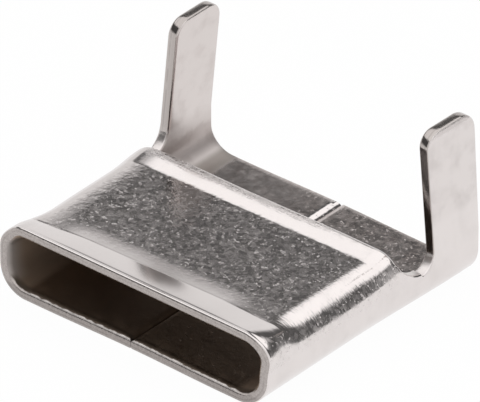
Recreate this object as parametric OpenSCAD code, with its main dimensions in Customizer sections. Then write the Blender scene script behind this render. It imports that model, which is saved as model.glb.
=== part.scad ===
// Strapping buckle: one blank of stainless sheet, folded into a flat sleeve that two
// turns of strap run through, with two ears that are hammered down over the strap.
// The frame has X across the strap, Y along it from the mouth to the ears, and Z up.
// The origin lies on the underside, in the middle of the outline.

/* [Sheet] */
// Thickness of the stainless sheet
sheet_t = 0.8; // [0.6:0.05:1.2]
// Outer radius of the bends between the floor and the side walls
floor_bend_r = 2.2; // [1.6:0.1:2.6]
// Outer radius of the bends between the side walls and the roof
roof_bend_r = 1.8; // [1.4:0.1:2.4]

/* [Sleeve] */
// Clear width of the slot that the strap runs through
slot_w = 20.4; // [16:0.1:28]
// Clear height of the slot under the flat of the roof
slot_h = 3.25; // [2.9:0.05:4.2]
// Length of the roof along the strap, from the mouth to its rear edge
roof_len = 13.1; // [10:0.1:18]
// Gap left in the floor where the two edges of the blank meet
seam_gap = 0.1; // [0.05:0.05:0.4]
// Radius rolled on the upper edges of the seam
seam_round = 0.3; // [0.1:0.05:0.5]

/* [Flared edges of the roof] */
// Upward tilt of the roof at the mouth, in degrees
mouth_tilt = 12; // [6:0.5:18]
// Length of the tilted strip at the mouth
mouth_len = 2.0; // [1:0.1:3]
// Tilt of the gentle strip behind it, in degrees
ease_tilt = 4.3; // [2:0.1:6]
// Length of the gentle strip
ease_len = 1.9; // [1:0.1:3]
// Upward tilt of the roof towards its rear edge, in degrees
rear_tilt = 9.2; // [4:0.2:14]
// Length of the strip that tilts up at the rear edge
rear_len = 1.85; // [1:0.05:3]

/* [Ears] */
// Height of the ears above the underside
ear_h = 12.2; // [9:0.1:16]
// Length of each ear along the strap
ear_len = 4.25; // [3.5:0.05:7]
// Inward lean of the ears, in degrees
ear_lean = 2.5; // [1:0.5:8]
// Corner radius at the top of an ear, on the side of the roof
ear_front_r = 1.1; // [0.5:0.1:2]
// Corner radius at the top of an ear, at the rear
ear_rear_r = 1.5; // [0.5:0.1:2]

/* [Notch between roof and ear] */
// Height of the bottom of the notch above the underside
notch_z = 2.75; // [2.65:0.05:3]
// Radius of the notch on the side of the roof
notch_front_r = 2; // [1.5:0.1:3]
// Radius of the notch on the side of the ear
notch_rear_r = 1.1; // [0.6:0.1:1.6]

/* [Hidden] */
$fn = 96;

sleeve_w = slot_w + 2 * sheet_t;
roof_z = slot_h + 2 * sheet_t;
// Places along the strap, counted from the mouth
flat_start = mouth_len + ease_len;
flat_end = roof_len - rear_len;
notch_y = roof_len + notch_front_r;
ear_y = notch_y + notch_rear_r;
length = ear_y + ear_len;
// The ears stand upright as far as this, and lean inwards above it
lean_z = notch_z + notch_rear_r;
// Spare length on strips that are trimmed afterwards
spare = 4;

// Runs a section, drawn as [X, Z], along the strap towards +Y
module along_strap(run) {
    translate([0, run, 0]) rotate([90, 0, 0]) linear_extrude(run) children();
}

// Turns an outline of the side, drawn as [Y, Z], into a plate towards +X
module side_plate(thickness) {
    rotate([90, 0, 90]) linear_extrude(thickness) children();
}

// Quarter of a sheet bend about the origin, between the +X and the +Y direction
module bend_section(outer_r) {
    intersection() {
        difference() {
            circle(outer_r);
            circle(outer_r - sheet_t);
        }
        square(outer_r);
    }
}

// Floor and lower bends across the strap: two halves that meet at the seam
module floor_section() {
    for (side = [0, 1]) mirror([side, 0]) {
        difference() {
            translate([seam_gap / 2, 0]) square([sleeve_w / 2 - floor_bend_r - seam_gap / 2, sheet_t]);
            translate([seam_gap / 2, sheet_t - seam_round]) difference() {
                square(seam_round);
                translate([seam_round, 0]) circle(seam_round);
            }
        }
        translate([sleeve_w / 2 - floor_bend_r, floor_bend_r]) rotate(-90) bend_section(floor_bend_r);
    }
}

// Filled section under the roof, drawn in by inset on all sides, with the top of the roof at zero
module vault_section(inset) {
    corner_r = roof_bend_r - inset;
    half_w = sleeve_w / 2 - inset;
    foot = -roof_bend_r - roof_z;
    translate([-half_w, foot]) square([2 * half_w, roof_z]);
    translate([corner_r - half_w, foot]) square([2 * (half_w - corner_r), roof_z + corner_r]);
    for (side = [0, 1]) mirror([side, 0]) translate([half_w - corner_r, -roof_bend_r]) circle(corner_r);
}

// Straight strip of the vault that leans by tilt and reaches ahead of and behind its crease
module vault_strip(inset, tilt, ahead, behind) {
    rotate([tilt, 0, 0]) translate([0, -ahead, 0]) along_strap(ahead + behind) vault_section(inset);
}

// Form under the roof: a flat run that turns up at the mouth, in two steps, and at the rear
module vault(inset) {
    translate([0, flat_start, roof_z]) {
        vault_strip(inset, 0, flat_start, flat_end - flat_start + spare);
        vault_strip(inset, -ease_tilt, flat_start + spare, spare);
        translate([0, -ease_len, ease_len * tan(ease_tilt)])
            vault_strip(inset, -mouth_tilt, mouth_len + spare, spare);
    }
    translate([0, flat_end, roof_z]) vault_strip(inset, rear_tilt, spare, rear_len + notch_front_r + spare);
}

// Space behind the roof, seen from the side: its front is the roof's rear edge and the notch's front
module behind_roof() {
    notch_top = notch_z + notch_front_r;
    translate([notch_y, notch_top]) circle(notch_front_r);
    translate([roof_len, notch_top]) square([notch_front_r, ear_h]);
}

// Roof and upper walls as far back as the bottom of the notch
module hood() {
    difference() {
        intersection() {
            vault(0);
            translate([-sleeve_w, 0, floor_bend_r]) cube([2 * sleeve_w, notch_y, ear_h]);
        }
        vault(sheet_t);
        translate([-sleeve_w, 0, 0]) side_plate(2 * sleeve_w) behind_roof();
    }
}

// Right-hand wall and ear across the strap: upright at first, then leaning inwards
module ear_section() {
    half_w = sleeve_w / 2;
    crease_drop = sheet_t * tan(ear_lean / 2);
    top_x = half_w - (ear_h - lean_z) * tan(ear_lean);
    polygon([
        [half_w, floor_bend_r],
        [half_w, lean_z],
        [top_x, ear_h],
        [top_x - sheet_t / cos(ear_lean), ear_h],
        [half_w - sheet_t, lean_z - crease_drop],
        [half_w - sheet_t, floor_bend_r]
    ]);
}

// The same wall and ear from the side: the notch's rear half, then a blade with rounded corners
module ear_outline() {
    difference() {
        translate([notch_y, floor_bend_r]) square([length - notch_y, lean_z - floor_bend_r]);
        translate([notch_y, lean_z]) circle(notch_rear_r);
    }
    translate([ear_y, lean_z]) {
        blade_h = ear_h - lean_z;
        square([ear_len - ear_rear_r, blade_h - ear_front_r]);
        translate([ear_front_r, 0]) square([ear_len - ear_front_r, blade_h - ear_rear_r]);
        translate([ear_front_r, 0]) square([ear_len - ear_front_r - ear_rear_r, blade_h]);
        translate([ear_front_r, blade_h - ear_front_r]) circle(ear_front_r);
        translate([ear_len - ear_rear_r, blade_h - ear_rear_r]) circle(ear_rear_r);
    }
}

module ear() {
    intersection() {
        along_strap(length) ear_section();
        side_plate(sleeve_w) ear_outline();
    }
}

module buckle() {
    color([0.72, 0.70, 0.68]) translate([0, -length / 2, 0]) {
        along_strap(length) floor_section();
        hood();
        ear();
        mirror([1, 0, 0]) ear();
    }
}

buckle();
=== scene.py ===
import math

import bmesh
import bpy
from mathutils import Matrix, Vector


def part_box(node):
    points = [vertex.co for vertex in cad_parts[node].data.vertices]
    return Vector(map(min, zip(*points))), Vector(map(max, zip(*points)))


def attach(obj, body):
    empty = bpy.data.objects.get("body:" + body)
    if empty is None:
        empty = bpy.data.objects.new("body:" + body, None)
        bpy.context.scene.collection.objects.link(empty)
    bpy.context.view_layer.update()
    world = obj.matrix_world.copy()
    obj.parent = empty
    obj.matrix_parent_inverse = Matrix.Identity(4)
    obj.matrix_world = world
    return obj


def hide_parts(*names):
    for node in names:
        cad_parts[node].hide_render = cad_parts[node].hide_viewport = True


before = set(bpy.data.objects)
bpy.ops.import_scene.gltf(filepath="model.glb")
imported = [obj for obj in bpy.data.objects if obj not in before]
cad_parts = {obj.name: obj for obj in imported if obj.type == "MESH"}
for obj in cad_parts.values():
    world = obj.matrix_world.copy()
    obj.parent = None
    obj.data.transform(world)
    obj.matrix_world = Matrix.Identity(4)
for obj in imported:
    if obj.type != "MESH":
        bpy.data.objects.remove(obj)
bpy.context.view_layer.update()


# The blank: one strip of stainless sheet, stamped flat, with a slot behind the roof and an ear
# behind each end of the slot. It lies outside up at the height of the roof, with the roof in the
# middle and the two edges of the later seam at its ends. Tumbling has rounded its sheared edges.
mm = 0.001
low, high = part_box("buckle")
mouth = low.y
length = high.y - low.y
half_width = high.x
ear_top = high.z
sheet = 0.8 * mm
roof_top = 4.85 * mm
roof_length = 13.1 * mm
roof_bend = 1.8 * mm
floor_bend = 2.2 * mm
seam_gap = 0.03 * mm
slot_bottom = 2.75 * mm
slot_rounds_right = (1.85 * mm, 1.22 * mm)
slot_rounds_left = (1.55 * mm, 1.5 * mm)
ear_front = 16.2 * mm
ear_front_round = 1.1 * mm
ear_rear_round = 1.3 * mm
round_segments = 10
quarter = math.pi / 2
fine = 1e-7

# Places across the flat blank, counted from its middle along the outer side of the sheet
roof_edge = half_width - roof_bend
wall_edge = roof_edge + quarter * roof_bend
wall_foot = wall_edge + roof_top - roof_bend - floor_bend
floor_edge = wall_foot + quarter * floor_bend
blank_edge = floor_edge + half_width - floor_bend - seam_gap / 2
slot_end = wall_edge + roof_top - roof_bend - slot_bottom
ear_tip = wall_edge + roof_top - roof_bend - ear_top


def pick(kind, wanted):
    """Selects the vertices, edges or faces that wanted() accepts, and nothing else."""
    bpy.ops.mesh.select_mode(type=kind)
    bpy.ops.mesh.select_all(action="DESELECT")
    edited = bmesh.from_edit_mesh(bpy.context.edit_object.data)
    for part in {"VERT": edited.verts, "EDGE": edited.edges, "FACE": edited.faces}[kind]:
        if wanted(part):
            part.select_set(True)
    edited.select_flush_mode()
    bmesh.update_edit_mesh(bpy.context.edit_object.data)


def cut_across(x):
    """Adds an edge along the strap at x, through the whole blank."""
    bpy.ops.mesh.select_all(action="SELECT")
    bpy.ops.mesh.bisect(plane_co=(x, 0, 0), plane_no=(1, 0, 0), threshold=fine)


def cut_along(from_mouth, askew=0):
    """Adds an edge across the strap at that distance from the mouth, through the whole blank."""
    bpy.ops.mesh.select_all(action="SELECT")
    bpy.ops.mesh.bisect(plane_co=(0, mouth + from_mouth, 0), plane_no=(-askew, 1, 0), threshold=fine)


bpy.ops.object.select_all(action="DESELECT")
bpy.ops.mesh.primitive_plane_add(size=1, location=(0, 0, roof_top))
buckle = bpy.context.object
buckle.name = "buckle_sheet"
buckle.scale = (2 * blank_edge, length, 1)
bpy.ops.object.transform_apply(location=True, scale=True)
bpy.ops.object.mode_set(mode="EDIT")
for side in (1, -1):
    cut_across(side * slot_end)
    cut_across(side * ear_tip)
cut_along(roof_length)
cut_along(ear_front)


def in_slot(face):
    """True for the faces that the stamp removes: the slot itself, and the gap between the ears."""
    middle = face.calc_center_median()
    from_mouth = middle.y - mouth
    if from_mouth > ear_front:
        return abs(middle.x) < ear_tip
    return from_mouth > roof_length and abs(middle.x) < slot_end


pick("FACE", in_slot)
bpy.ops.mesh.delete(type="FACE")
bpy.ops.mesh.select_all(action="SELECT")
bpy.ops.mesh.dissolve_limited(angle_limit=math.radians(1))
for side, slot_rounds in ((1, slot_rounds_right), (-1, slot_rounds_left)):
    for across, from_mouth, radius in (
        (slot_end, roof_length, slot_rounds[0]),
        (slot_end, ear_front, slot_rounds[1]),
        (ear_tip, ear_front, ear_front_round),
        (ear_tip, length, ear_rear_round),
    ):
        corner = Vector((side * across, mouth + from_mouth, roof_top))
        pick("VERT", lambda v: (v.co - corner).length < 10 * fine)
        bpy.ops.mesh.bevel(
            affect="VERTICES", offset=radius, segments=round_segments, clamp_overlap=False
        )
pick("FACE", lambda face: True)
bpy.ops.mesh.extrude_region_move(TRANSFORM_OT_translate={"value": (0, 0, -sheet)})
bpy.ops.mesh.select_all(action="SELECT")
bpy.ops.mesh.normals_make_consistent(inside=False)

# Rounded edges: the widest are at the seam, and then comes the roof's rear edge. The inner edge of
# the mouth stays sharp.
full_round = 0.56 * mm


def outside(vertex):
    """True on the outer side of the sheet, which lies uppermost while the blank is flat."""
    return vertex.co.z > roof_top - fine


def lies_flat(edge):
    """True for the edges of the two large faces, and not for those through the thickness."""
    return abs(edge.verts[0].co.z - edge.verts[1].co.z) < fine


def roof_rear(edge):
    """True for the outer edge at the rear of the roof, with the start of the slot's rounds."""
    return all(outside(v) and abs(v.co.y - mouth - roof_length) < 0.2 * mm for v in edge.verts)


def mouth_outer(edge):
    """True for the outer edge of the mouth."""
    return all(outside(v) and v.co.y < mouth + fine for v in edge.verts)


def mouth_inner(edge):
    """True for the inner edge of the mouth."""
    return all(not outside(v) and v.co.y < mouth + fine for v in edge.verts)


def seam_upper(edge):
    """True for the two edges that lie uppermost at the seam once the blank is folded."""
    return all(not outside(v) and abs(v.co.x) > blank_edge - 10 * fine for v in edge.verts)


for wanted, share in (
    (lies_flat, 0.3),
    (roof_rear, 0.6),
    (mouth_outer, 0.25),
    (mouth_inner, 0),
    (seam_upper, 0.85),
):
    pick("EDGE", lambda edge: lies_flat(edge) and wanted(edge))
    bpy.ops.transform.edge_bevelweight(value=-1)
    bpy.ops.transform.edge_bevelweight(value=share)
bpy.ops.object.mode_set(mode="OBJECT")
rounding = buckle.modifiers.new("tumbled edges", "BEVEL")
rounding.limit_method = "WEIGHT"
rounding.width = full_round
rounding.segments = 5
rounding.use_clamp_overlap = False
bpy.ops.object.modifier_apply(modifier=rounding.name)

# The inner side and the sheared edges get finishes of their own, so they are marked while it is flat
for finish in ("tumbled_stainless", "sheared_edge", "inner_side"):
    buckle.data.materials.append(bpy.data.materials.new(finish))
bpy.ops.object.mode_set(mode="EDIT")
pick("FACE", lambda face: abs(face.normal.z) < 0.5)
buckle.active_material_index = 1
bpy.ops.object.material_slot_assign()
pick("FACE", lambda face: face.normal.z < -0.5)
buckle.active_material_index = 2
bpy.ops.object.material_slot_assign()


def steps(start, end, count):
    """The places that divide a stretch into count equal steps, without its start."""
    return [start + (end - start) * k / count for k in range(1, count + 1)]


# Cuts give the sheet points to bend at: close together in the bends, at the rim of the mouth and at
# the two creases of the roof, which lie a little askew, and further apart where it stays flat
mouth_crease = 2.22 * mm
rear_crease = 11.3 * mm
skew = 0.022
crease_reach = 0.26 * mm
places = []
for start, end, count in (
    (0, roof_edge, 22),
    (roof_edge, wall_edge, 16),
    (wall_edge, wall_foot, 4),
    (wall_foot, floor_edge, 16),
    (floor_edge, blank_edge, 14),
):
    places += steps(start, end, count)
cut_across(0)
for place in places[:-1]:
    cut_across(place)
    cut_across(-place)
for place in steps(0.12 * mm, 0.48 * mm, 6) + steps(0.48 * mm, 1.7 * mm, 11):
    cut_along(place)
for crease in (mouth_crease, rear_crease):
    for place in steps(crease - crease_reach, crease + crease_reach, 9):
        cut_along(place, skew)
for place in (
    steps(2.6 * mm, 5 * mm, 12)
    + steps(5 * mm, 10.8 * mm, 10)
    + steps(11.8 * mm, 13 * mm, 8)
    + steps(13 * mm, length, 14)[:-1]
):
    cut_along(place)
bpy.ops.object.mode_set(mode="OBJECT")
depth = buckle.data.attributes.new("depth", "FLOAT", "POINT")
for v, entry in zip(buckle.data.vertices, depth.data):
    entry.value = (roof_top - v.co.z) / sheet


# The folds: the press turns the floor under at the lower bends, then the walls down at the upper
# ones, about lines on the outer side of the sheet. An ear is part of a wall, and the slot frees it
# from the roof, so it swings up with its wall and stays straight.
def fold(start, radius, side, group=""):
    """Bends the sheet a quarter turn downwards where it lies start or more out on that side."""
    reach = [side * v.co.x for v in buckle.data.vertices]
    span = max(reach) - min(reach)
    turn = 0 if side > 0 else math.pi
    bpy.ops.object.empty_add(location=(side * start, 0, roof_top), rotation=(-quarter, 0, turn))
    line = bpy.context.object
    bpy.ops.object.select_all(action="DESELECT")
    buckle.select_set(True)
    bpy.context.view_layer.objects.active = buckle
    bend = buckle.modifiers.new("fold", "SIMPLE_DEFORM")
    bend.deform_method = "BEND"
    bend.deform_axis = "Z"
    bend.origin = line
    bend.angle = quarter
    first = (start - min(reach)) / span
    bend.limits = (first, first + quarter * radius / span)
    bend.vertex_group = group
    bpy.ops.object.modifier_apply(modifier=bend.name)
    bpy.data.objects.remove(line)


for side in (1, -1):
    fold(wall_foot, floor_bend, side)

# An ear begins in the rear round of the slot, a little ahead of its own front edge
ear_root = ear_front - 1.1 * mm
bpy.ops.object.mode_set(mode="EDIT")
pick("VERT", lambda v: v.co.y < mouth + ear_root or abs(v.co.x) > wall_edge - fine)
buckle.vertex_groups.new(name="sleeve")
bpy.ops.object.vertex_group_assign()
for side in (1, -1):
    pick("VERT", lambda v: v.co.y > mouth + ear_root and 0 < side * v.co.x < wall_edge - fine)
    bpy.ops.transform.translate(value=(-side * quarter * roof_bend, 0, 0))
    centre = (side * roof_edge, 0, roof_top - roof_bend)
    bpy.ops.transform.rotate(value=-side * quarter, orient_axis="Y", center_override=centre)
bpy.ops.object.mode_set(mode="OBJECT")
for side in (1, -1):
    fold(roof_edge, roof_bend, side, "sleeve")
buckle.vertex_groups.clear()


# The set of the sheet: the press swages the mouth open and turns the roof's rear edge up. Folding
# leaves one upper bend wider than the other, the right wall bulged, the walls open at the rear, the
# ears leaning in and the floor arched at the seam.
mouth_lift = 0.535 * mm
ease_lift = 0.155 * mm
ease_length = 1.65 * mm
lip_bow = 0.2
swage_lift_right = 0.52 * mm
swage_lift_left = 0.6 * mm
rear_lift = 0.3 * mm
rear_lip = roof_length - rear_crease
left_bend_set = 0.148 * mm
left_bend_reach = math.radians(60)
shoulder_drop = 0.075 * mm
bulge_depth = 0.2 * mm
flare_depth = 0.32 * mm
tuck_depth = 0.1 * mm
roll_depth = 0.16 * mm
crease_groove = 0.018 * mm
crease_groove_width = 0.08 * mm
rim_groove = 0.016 * mm
rim_groove_place = 0.25 * mm
rim_groove_width = 0.09 * mm
roof_only = 3.4 * mm
lean = math.tan(math.radians(3.4))
ear_bend = 3.85 * mm
floor_rise = 0.1 * mm
foot_set = 0.33 * mm
foot_top = 4 * mm
tip_rise = 0.22 * mm
front_set = 0.25 * mm
rear_draw = 0.12 * mm


def ramp(value, start, end):
    """Rises smoothly from 0 at start to 1 at end."""
    t = min(max((value - start) / (end - start), 0), 1)
    return t * t * (3 - 2 * t)


def rise(value, start, end):
    """Rises straight from 0 at start to 1 at end."""
    return min(max((value - start) / (end - start), 0), 1)


def press(name, direction, depth, share):
    """Shifts the sheet by depth, times share() at each point, as a punch of that form does."""
    group = buckle.vertex_groups.new(name=name)
    for v in buckle.data.vertices:
        group.add([v.index], share(v.co.x, v.co.y - mouth, v.co.z), "REPLACE")
    punch = buckle.modifiers.new(name, "DISPLACE")
    punch.direction = direction
    punch.strength = depth
    punch.mid_level = 0
    punch.vertex_group = name
    bpy.ops.object.modifier_apply(modifier=punch.name)
    buckle.vertex_groups.remove(buckle.vertex_groups[name])


def left_bend(x, y, z):
    """Full in the middle of the left upper bend, and fading out a little beyond its two ends."""
    outward = -x - roof_edge
    upward = z - roof_top + roof_bend
    if x > 0 or y > ear_root:
        return 0
    if outward < 0:
        turn = quarter - outward / roof_bend
    elif upward < 0:
        turn = upward / roof_bend
    else:
        turn = math.atan2(upward, outward)
    return math.cos(quarter * min(abs(turn - quarter / 2) / left_bend_reach, 1)) ** 2


def right_wall(x):
    """Rises from 0 on the floor and the roof to 1 on the right wall."""
    return ramp(x, 9.4 * mm, 11 * mm)


def right_bulge(x, y, z):
    """Widest half way up the right wall, from the mouth as far as the rear lip."""
    height = ramp(z, 0.5 * mm, 2.6 * mm) * (1 - 0.4 * ramp(z, 2.6 * mm, 4.4 * mm))
    return right_wall(x) * height * (1 - ramp(y, 8.5 * mm, 13.5 * mm))


def right_flare(x, y, z):
    """Opens the right end of the mouth, most of all at its upper corner."""
    return right_wall(x) * ramp(z, 2.4 * mm, 4.3 * mm) * (1 - ramp(y, 0.2 * mm, 3 * mm))


def left_tuck(x, y, z):
    """Closes the left end of the mouth a little."""
    return ramp(-x, 6 * mm, 9 * mm) * ramp(z, 0.2 * mm, 2 * mm) * (1 - ramp(y, 2 * mm, 7 * mm))


press("left bend", "X", left_bend_set, left_bend)
press("left bend", "Z", -left_bend_set, left_bend)


def roof_share(z):
    """Full on the roof and its bends, and fading out down the walls."""
    return ramp(z, floor_bend, roof_top - roof_bend)


def on_bend(x):
    """Rises from 0 on the roof to 1 on the upper bends."""
    return ramp(abs(x), 9.2 * mm, 10.5 * mm)


def lip_share(x, y, z):
    """Height of the mouth's lip, with an easing behind its crease, and of the swage on the bends."""
    crease = mouth_crease + skew * x
    easing = ease_lift * (1 - ramp(x, 5.5 * mm, 9.6 * mm)) * (1 - ramp(-x, 5 * mm, 8.4 * mm))
    if y < crease:
        height = easing + (mouth_lift - easing) * (1 - y / crease) * (1 + lip_bow * y / crease)
    else:
        height = easing * (1 - rise(y, crease, crease + ease_length)) ** 1.35
    if x > 0:
        swage = swage_lift_right * (1 - ramp(y, 0.4 * mm, 3.9 * mm))
    else:
        swage = swage_lift_left * (1 - ramp(y, 0.4 * mm, 4.5 * mm))
    return (height + (swage - height) * on_bend(x)) / mouth_lift * roof_share(z)


def rear_share(x, y, z):
    """Height of the strip that turns up along the rear edge of the roof."""
    crease = rear_crease + skew * x
    sharp = rise(y, crease, crease + rear_lip)
    soft = ramp(y, 10.2 * mm, 13.8 * mm)
    if y > ear_root:
        return 0
    return (sharp + (soft - sharp) * on_bend(x)) * roof_share(z)


def left_shoulder(x, y, z):
    """The left border of the roof, where it starts to fall before the bend."""
    border = ramp(-x, 7.9 * mm, 9.4 * mm) * ramp(y, 0.5 * mm, 3 * mm)
    return border * roof_share(z) * (y < ear_root)


press("left shoulder", "Z", -shoulder_drop, left_shoulder)
press("mouth lip", "Z", mouth_lift, lip_share)
press("rear lip", "Z", rear_lift, rear_share)
press("right bulge", "X", bulge_depth, right_bulge)
press("right flare", "X", flare_depth, right_flare)
press("left tuck", "X", tuck_depth, left_tuck)


def rolled_edge(x, y, z):
    """The left part of the roof's rear edge, which rolls over towards the slot."""
    over = rise(y, 12.1 * mm, 13.1 * mm) ** 2
    return over * (1 - ramp(x, -3 * mm, 7.5 * mm)) * (z > roof_only) * (y < roof_length + fine)


def crease_line(x, y, z):
    """Narrow groove that the tool leaves along the crease of the mouth's lip, deeper at the left."""
    off = (y - mouth_crease - skew * x - 0.02 * mm) / crease_groove_width
    reach = 1 - 0.7 * ramp(x, -7 * mm, -3.5 * mm)
    return reach * math.exp(-off * off) * (z > roof_only) * (1 - on_bend(x))


def rim_line(x, y, z):
    """Fine groove just behind the rounded edge of the mouth."""
    off = (y - rim_groove_place) / rim_groove_width
    return math.exp(-off * off) * (z > roof_only)


press("rolled edge", "Z", -roll_depth, rolled_edge)
press("crease line", "Z", -crease_groove, crease_line)
press("rim line", "Z", -rim_groove, rim_line)


def near_wall(outward):
    """Rises from 0 on the floor to 1 at the inside of a wall, by the distance from the middle."""
    return ramp(outward, 7 * mm, 10 * mm)


for side, splay, widest in ((1, 0.33 * mm, 20 * mm), (-1, 0.2 * mm, 17 * mm)):

    def ear_lean(x, y, z):
        """Rises up the ear on this side, from the bend at its foot."""
        return rise(z, ear_bend, ear_top) * (side * x > 0 and y > ear_front - 1.2 * mm)

    def open_wall(x, y, z):
        """Rises towards the rear of the wall on this side."""
        return near_wall(side * x) * ramp(y, 9 * mm, widest) * ramp(z, -mm, 0.8 * mm)

    def floor_arch(x, y, z):
        """Rises across the floor on this side, towards the seam."""
        return (1 - ramp(side * x, 0, 7.5 * mm)) * (z < 1.2 * mm) * (side * x > 0)

    press("lean", "X", -side * (ear_top - ear_bend) * lean, ear_lean)
    press("splay", "X", side * splay, open_wall)
    press("arch", "Z", floor_rise, floor_arch)


def left_foot(x, y, z):
    """Widest at the foot of the left ear, and fading out towards its top."""
    height = ramp(z, 0, 2.5 * mm) * (1 - rise(z, foot_top, ear_top))
    return near_wall(-x) * ramp(y, 12.5 * mm, 16 * mm) * height


def right_tip(x, y, z):
    """Highest at the top of the right ear."""
    return rise(z, foot_top, ear_top) * (x > 0 and y > 15 * mm)


def right_front(x, y, z):
    """Furthest out at the front of the right ear's top."""
    return right_tip(x, y, z) * (1 - rise(y, ear_front, length))


press("left foot", "X", -foot_set, left_foot)
press("right tip", "Z", tip_rise, right_tip)
press("right front", "Y", -front_set, right_front)
press("draw", "Y", rear_draw, lambda x, y, z: rise(y, 13.5 * mm, length))
bpy.ops.object.select_all(action="DESELECT")
buckle.select_set(True)
bpy.context.view_layer.objects.active = buckle
bpy.ops.object.shade_smooth_by_angle(angle=math.radians(35))
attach(buckle, "root")
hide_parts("buckle")


# The finish: bright stainless, tumbled until its faces are covered in fine dimples. The mill's dark
# film stays inside the sleeve, where nothing rubs, and sheared edges stay duller and rougher.
class Shade:
    """One output of a shader node. Arithmetic on it adds Math nodes to the same tree."""

    def __init__(self, tree, socket=None):
        self.tree = tree
        self.socket = socket

    def node(self, kind, settings, sockets, output=0):
        """Adds a node: its settings are set first, then its sockets get values or links."""
        made = self.tree.nodes.new(kind)
        for name, value in settings.items():
            setattr(made, name, value)
        for name, value in sockets.items():
            if isinstance(value, Shade):
                self.tree.links.new(value.socket, made.inputs[name])
            else:
                made.inputs[name].default_value = value
        return Shade(self.tree, made.outputs[output])

    def other(self, output):
        """Another output of the node that this one comes from."""
        return Shade(self.tree, self.socket.node.outputs[output])

    def math(self, operation, first, second=0.0):
        return self.node("ShaderNodeMath", {"operation": operation}, {0: first, 1: second})

    def __add__(self, other):
        return self.math("ADD", self, other)

    def __radd__(self, other):
        return self.math("ADD", other, self)

    def __sub__(self, other):
        return self.math("SUBTRACT", self, other)

    def __rsub__(self, other):
        return self.math("SUBTRACT", other, self)

    def __mul__(self, other):
        return self.math("MULTIPLY", self, other)

    def __rmul__(self, other):
        return self.math("MULTIPLY", other, self)

    def step(self, start, end):
        """Rises smoothly from 0 where this value is start to 1 where it is end."""
        sockets = {"Value": self, "From Min": start, "From Max": end}
        return self.node("ShaderNodeMapRange", {"interpolation_type": "SMOOTHSTEP"}, sockets)

    def mix(self, first, second):
        """The first colour where this value is 0 and the second where it is 1."""
        return self.node("ShaderNodeMix", {"data_type": "RGBA"}, {0: self, 6: first, 7: second}, 2)


def shading(material):
    """Empties a material and returns a Shade to add nodes to it, and its output node."""
    material.use_nodes = True
    material.node_tree.nodes.clear()
    output = material.node_tree.nodes.new("ShaderNodeOutputMaterial")
    return Shade(material.node_tree), output


def noise(spot, size, detail=2.0):
    """Cloudy pattern, from 0 to 1, whose blotches are about that large."""
    sockets = {"Vector": spot, "Scale": 1 / size, "Detail": detail, "Roughness": 0.55}
    return spot.node("ShaderNodeTexNoise", {}, sockets)


def axes_of(spot):
    """A point's place across the strap, its distance from the mouth and its height."""
    across = spot.node("ShaderNodeSeparateXYZ", {}, {"Vector": spot})
    return across, across.other("Y") - mouth, across.other("Z")


def dimples(spot):
    """Heights in mm of the tumbled surface, and the patches and flecks that tumbling leaves."""
    wander = spot.node("ShaderNodeTexNoise", {}, {"Vector": spot, "Scale": 1 / (0.22 * mm)}, "Color")
    sockets = {0: wander, 1: (0.2 * mm, 0.2 * mm, 0.2 * mm), 2: spot}
    shifted = spot.node("ShaderNodeVectorMath", {"operation": "MULTIPLY_ADD"}, sockets)
    facets = spot.node("ShaderNodeTexVoronoi", {}, {"Vector": shifted, "Scale": 1 / (0.26 * mm)}, "Color")
    patch = spot.node("ShaderNodeSeparateColor", {}, {"Color": facets})
    busy = noise(spot, 1.1 * mm).step(0.35, 0.65)
    fleck = noise(spot, 0.26 * mm, 2).step(0.6, 0.7) * patch.other("Green").step(0.4, 0.7)
    grain = noise(spot, 0.26 * mm, 2) * (0.005 + busy * 0.01) + noise(spot, 0.65 * mm) * 0.01
    return grain, patch, fleck


def bare_metal(shade, output, colour, rough, height, scale):
    """Closes a material as bare metal. Its relief is height, in units of scale."""
    bump = shade.node("ShaderNodeBump", {}, {"Height": height, "Strength": 1, "Distance": scale})
    sockets = {"Base Color": colour, "Roughness": rough, "Metallic": 1, "Normal": bump}
    surface = shade.node("ShaderNodeBsdfPrincipled", {}, sockets)
    shade.tree.links.new(surface.socket, output.inputs["Surface"])


steel = (0.765, 0.715, 0.70, 1)
dull_and_shaded = (0.62, 0.575, 0.56, 1)
shade, output = shading(buckle.data.materials["tumbled_stainless"])
spot = shade.node("ShaderNodeTexCoord", {}, {}, "Object")
across, along, up = axes_of(spot)
outward = shade.math("ABSOLUTE", across)
askew = along - skew * across
grain, patch, fleck = dimples(spot)
on_roof = up.step(roof_only, 3.8 * mm)
flat = on_roof * (1 - outward.step(8.7 * mm, 9.7 * mm))
on_ear = up.step(5.6 * mm, 6.4 * mm)

# The strap and the press have rubbed both lips of the roof smooth, with a ragged border, and the
# dimples stay shallow for some way behind the front lip
fray = (noise(spot, 0.5 * mm) - 0.5) * (0.8 * mm)
lip_rub = 1 - (askew + fray * 0.2).step(mouth_crease - 0.05 * mm, mouth_crease + 0.15 * mm)
ease_width = across.step(-8.4 * mm, -6.5 * mm) * (1 - across.step(4.5 * mm, 8 * mm))
ease_rub = (1 - (askew + fray).step(2.5 * mm, 3.9 * mm)) * ease_width * 0.95
rear_edge = (askew + fray * 0.5).step(12.2 * mm, 12.6 * mm)
rear_rub = (askew + fray * 0.3).step(rear_crease - 0.1 * mm, rear_crease + 0.2 * mm)
rear_rub = rear_rub * (1 - 0.7 * rear_edge)
rubbed = flat * shade.math("MAXIMUM", shade.math("MAXIMUM", lip_rub, ease_rub), rear_rub)
dimpled = 1 - 0.93 * rubbed
eased = flat * (1 - lip_rub) * (1 - (askew + fray).step(3 * mm, 5.2 * mm))

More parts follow.
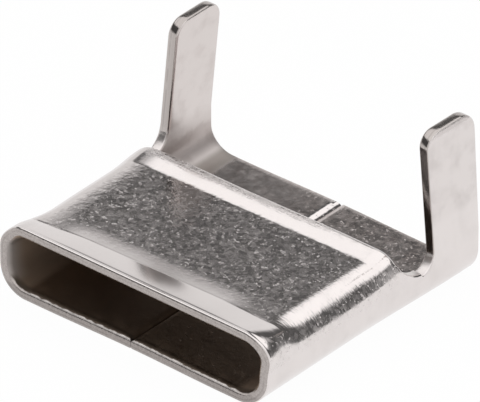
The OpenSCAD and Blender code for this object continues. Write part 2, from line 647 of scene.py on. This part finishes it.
# Folding has drawn fine lines across the upper bends, and the rear strip is scored along its edge
strip = flat * (askew + fray * 0.5).step(12.15 * mm, 12.6 * mm) * (1 - across.step(2 * mm, 9 * mm))
drawn = spot.node("ShaderNodeVectorMath", {"operation": "MULTIPLY"}, {0: spot, 1: (0.2, 1, 0.2)})
fur = noise(drawn, 0.12 * mm) * (on_roof - flat) * (0.3 + 0.7 * along.step(1.5 * mm, 5 * mm))
scored = spot.node("ShaderNodeVectorMath", {"operation": "MULTIPLY"}, {0: spot, 1: (0.12, 1, 1)})
scores = noise(scored, 0.1 * mm, 3).step(0.5, 0.66) * strip
low_bend = outward.step(10.3 * mm, 10.7 * mm) * up.step(2.7 * mm, 3.3 * mm)
low_bend = low_bend * (1 - along.step(13.5 * mm, 14.5 * mm))
relief = grain * (0.1 + 0.3 * on_roof + 0.6 * flat - 0.45 * eased)
pits = fleck * (flat * 0.007 + low_bend * 0.014)
height = (relief - pits) * dimpled + fur * 0.011 - scores * 0.012

# Handling has dulled the ears and chipped the tips of the ears, and the left bend gets a painted shade
cloud = noise(spot, 1.6 * mm, 4).step(0.4, 0.75)
# Painted shade: the left bend takes the dull colour so that it reads darker
left_bend_shade = on_roof * (1 - across.step(-9.7 * mm, -8.6 * mm))
chips = up.step(ear_top - 0.3 * mm, ear_top - 0.1 * mm) * noise(spot, 0.25 * mm).step(0.2, 0.45)
wear_and_shade = cloud * (0.25 + 0.4 * on_ear) * (1 - flat) + on_ear * 0.2 + left_bend_shade * 0.5
colour = (wear_and_shade + patch * flat * dimpled * 0.6).mix(steel, dull_and_shaded)
rough = 0.1 + rubbed * 0.05 + dimpled * flat * (patch * 0.13 + fleck * 0.05 - 0.02)
rough = rough + strip * (0.1 + patch * 0.14) + low_bend * (patch * 0.2 + fleck * 0.2)
rough = rough + eased * 0.05 + chips * 0.4
bare_metal(shade, output, colour, rough, height, mm)

# The inner side is duller and warmer, and dark inside the sleeve, where the mill's film is left. It has
# a painted light at the left end of the mouth, and the strap has rubbed the film off in a ragged band
# along the floor's edge.
warm = (0.70, 0.645, 0.625, 1)
smoky = (0.50, 0.44, 0.42, 1)
darker_foot = (0.31, 0.275, 0.25, 1)
film = (0.27, 0.205, 0.155, 1)
film_lit_on_walls = (0.44, 0.345, 0.27, 1)
left_end_light = (0.54, 0.50, 0.48, 1)
darkest_inside = (0.10, 0.078, 0.062, 1)
rubbed_edge = (0.74, 0.69, 0.665, 1)
shade, output = shading(buckle.data.materials["inner_side"])
spot = shade.node("ShaderNodeTexCoord", {}, {}, "Object")
across, along, up = axes_of(spot)
outward = shade.math("ABSOLUTE", across)
grain, patch, fleck = dimples(spot)
level = (1 - up.step(1 * mm, 1.4 * mm)) * (1 - outward.step(8.3 * mm, 9 * mm))
busy_floor = level * across.step(-6 * mm, 2 * mm)
height = grain * (0.2 + 0.1 * level + 0.6 * busy_floor) - fleck * busy_floor * 0.01

# Behind the roof the metal is bare, darker on the lower bends with a ragged top, and darkest along their
# foot
cloud = noise(spot, 1.3 * mm, 4).step(0.45, 0.75)
lower_dark_top = (up + (noise(spot, 0.8 * mm) - 0.5) * mm).step(2.5 * mm, 3.2 * mm)
lower_dark = up.step(0.9 * mm, 1.6 * mm) * (1 - lower_dark_top)
foot = outward.step(8.3 * mm, 8.8 * mm) * (1 - up.step(0.88 * mm, 1.12 * mm)) * 0.8
smoke = cloud * 0.35 + level * (0.3 + patch * 0.5) + lower_dark * 0.7
bare = foot.mix(smoke.mix(warm, smoky), darker_foot)

# Under the roof the walls get a painted light, lighter than the film, and the floor is darkest just
# behind its edge
under = 1 - along.step(11.6 * mm, 13.2 * mm)
walls_lit = outward.step(5.5 * mm, 9.5 * mm) * up.step(1.2 * mm, 2.6 * mm)
# Painted light: the left end of the mouth is lightened where light comes in through it
lit_left_end = (1 - along.step(0, 1.8 * mm)) * (1 - across.step(-10.2 * mm, -9.3 * mm))
inside = lit_left_end.mix(walls_lit.mix(film, film_lit_on_walls), left_end_light)
low_down = 1 - up.step(1 * mm, 1.6 * mm)
# Darkest on the floor just behind the mouth, low down
dark_behind_edge = (1 - along.step(0.2 * mm, 0.7 * mm)) * low_down
ragged = along + (noise(spot, 0.5 * mm, 3) - 0.5) * (0.2 * mm)
floor_edge_wear = (1 - ragged.step(0.09 * mm, 0.16 * mm)) * low_down
inside = floor_edge_wear.mix(dark_behind_edge.mix(inside, darkest_inside), rubbed_edge)

# The rolled edge of the seam is bright where it lies open
rolled = across.step(-0.7 * mm, -0.58 * mm) * (1 - across.step(0, 0.06 * mm))
rolled = rolled * (1 - up.step(1.2 * mm, 1.5 * mm)) * (1 - under)
colour = rolled.mix(under.mix(bare, inside), steel)
blotch = noise(spot, 0.6 * mm, 4).step(0.35, 0.75)
rough = 0.3 + 0.2 * (1 - up.step(3 * mm, 4.5 * mm)) + under * 0.25
rough = rough - level * (0.34 - blotch * 0.07) - busy_floor * (0.06 - patch * 0.1)
rough = rough * (1 - rolled) + rolled * 0.1
bare_metal(shade, output, colour, rough, height, mm)

# A sheared edge has a smooth band where the tool entered, a dark line, and then a torn band. On the
# ears and in the notches tumbling has smoothed it, and at the mouth the floor's edge has a painted shade.
clean_cut = (0.49, 0.45, 0.43, 1)
torn = (0.37, 0.33, 0.315, 1)
shear_line = (0.10, 0.085, 0.08, 1)
shade, output = shading(buckle.data.materials["sheared_edge"])
spot = shade.node("ShaderNodeTexCoord", {}, {}, "Object")
depth = shade.node("ShaderNodeAttribute", {"attribute_name": "depth"}, {}, "Fac")
across, along, up = axes_of(spot)
at_ears = up.step(2.2 * mm, 2.6 * mm) * along.step(13.4 * mm, 14 * mm)
in_notch = at_ears * (1 - up.step(3 * mm, 4.3 * mm)) * 0.9
# Painted shade: the floor's edge at the mouth is darkened, for the shadow close to the paper
floor_rim_shade = (1 - up.step(0.8 * mm, 1 * mm)) * (1 - along.step(0.2 * mm, 0.4 * mm))
tear = noise(spot, 0.16 * mm, 4) * (1 - 0.7 * at_ears)
wavy = depth + (noise(spot, 0.9 * mm) - 0.5) * 0.12
from_line = shade.math("ABSOLUTE", wavy - 0.36)
line = (1 - from_line.step(0.04, 0.11)) * noise(spot, 1.3 * mm).step(0.3, 0.5)
body = (tear.step(0.35, 0.65) * 0.6 + wavy.step(0.3, 0.7) * 0.3).mix(clean_cut, torn)
colour = in_notch.mix((line * 0.2 + floor_rim_shade * 0.25).mix(body, shear_line), steel)
rough = 0.18 - at_ears * up.step(5 * mm, 9 * mm) * 0.08 + in_notch * 0.16 + tear * 0.2
bare_metal(shade, output, colour, rough, tear, 0.02 * mm)


# The floor: a wide sheet of white paper under the buckle. Camera and mirror rays see it near
# white, and it keeps a soft trace of the buckle's shadow.
bpy.ops.mesh.primitive_plane_add(size=1.2, location=(0, 0, -0.02 * mm))
paper = bpy.context.object
paper.name = "paper"
paper.data.materials.append(bpy.data.materials.new("white_paper"))
shade, output = shading(paper.data.materials[0])
rays = shade.node("ShaderNodeLightPath", {}, {}, "Is Camera Ray")
glossy = rays.other("Is Glossy Ray")
through = rays.other("Is Transmission Ray")
matt = shade.node("ShaderNodeBsdfDiffuse", {}, {"Color": (0.86, 0.86, 0.86, 1)})
white = shade.node("ShaderNodeEmission", {}, {"Color": (1, 1, 1, 1), "Strength": 1})
seen = rays * 0.97 + glossy * 0.88 + through * 0.88
blend = shade.node("ShaderNodeMixShader", {}, {0: seen, 1: matt, 2: white})
shade.tree.links.new(blend.socket, output.inputs["Surface"])


# The studio: a bright ceiling, a pale bench that runs out to the horizon, and between them the dark
# of the room, except at the front right, where the light comes in. A softbox gives the shadow.
world = bpy.data.worlds.new("studio")
bpy.context.scene.world = world
world.use_nodes = True
world.node_tree.nodes.clear()
output = world.node_tree.nodes.new("ShaderNodeOutputWorld")
shade = Shade(world.node_tree)
heading = shade.node("ShaderNodeTexCoord", {}, {}, "Generated")


def height_along(tilt, towards):
    """Height of a view ray over a horizon that is tilted down by tilt towards a heading."""
    t, a = math.radians(tilt), math.radians(towards)
    axis = (math.sin(t) * math.sin(a), math.sin(t) * math.cos(a), math.cos(t))
    sockets = {0: heading, 1: axis}
    return shade.node("ShaderNodeVectorMath", {"operation": "DOT_PRODUCT"}, sockets, "Value")


def facing(towards):
    """1 for a level view ray with that heading, and less for rays that point away from it."""
    return height_along(90, towards)


over_bench = height_along(29, 120).step(-0.11, 0.08)
ceiling = height_along(0, 0).step(0.595, 0.695)
dark = over_bench * (1 - ceiling) * (1 - facing(125).step(0.25, 0.5))
brightness = 0.9 - 0.8 * dark + 0.36 * ceiling
sky = shade.node("ShaderNodeBackground", {}, {"Color": (1, 1, 1, 1), "Strength": brightness})
shade.tree.links.new(sky.socket, output.inputs["Surface"])

bpy.ops.object.light_add(type="AREA", location=(-0.25, 0.3, 0.8))
softbox = bpy.context.object
softbox.name = "softbox"
softbox.data.shape = "DISK"
softbox.data.size = 0.5
softbox.data.energy = 0.8
softbox.rotation_euler = (Vector((0, 0, 0)) - softbox.location).to_track_quat("-Z", "Y").to_euler()
softbox.visible_camera = False
softbox.visible_glossy = False


# The camera stands far off with a long lens, to the right of the mouth and above it. The photograph
# is 480 pixels wide and shows 15.9 of them to a millimetre.
azimuth = math.radians(40.2)
elevation = math.radians(33)
distance = 0.8
sensor = 36
view_width = 480 / 15.9 * mm
aim = Vector((-0.44 * mm, 0.89 * mm, 5.49 * mm))
level_run = math.cos(elevation)
back = Vector((math.sin(azimuth) * level_run, -math.cos(azimuth) * level_run, math.sin(elevation)))
bpy.ops.object.camera_add(location=aim + back * distance)
camera = bpy.context.object
camera.rotation_euler = (-back).to_track_quat("-Z", "Y").to_euler()
camera.data.sensor_width = sensor
camera.data.lens = sensor * distance / view_width
camera.data.clip_start = 0.01
camera.data.clip_end = 10
bpy.context.scene.camera = camera
bpy.context.scene.view_settings.view_transform = "Standard"
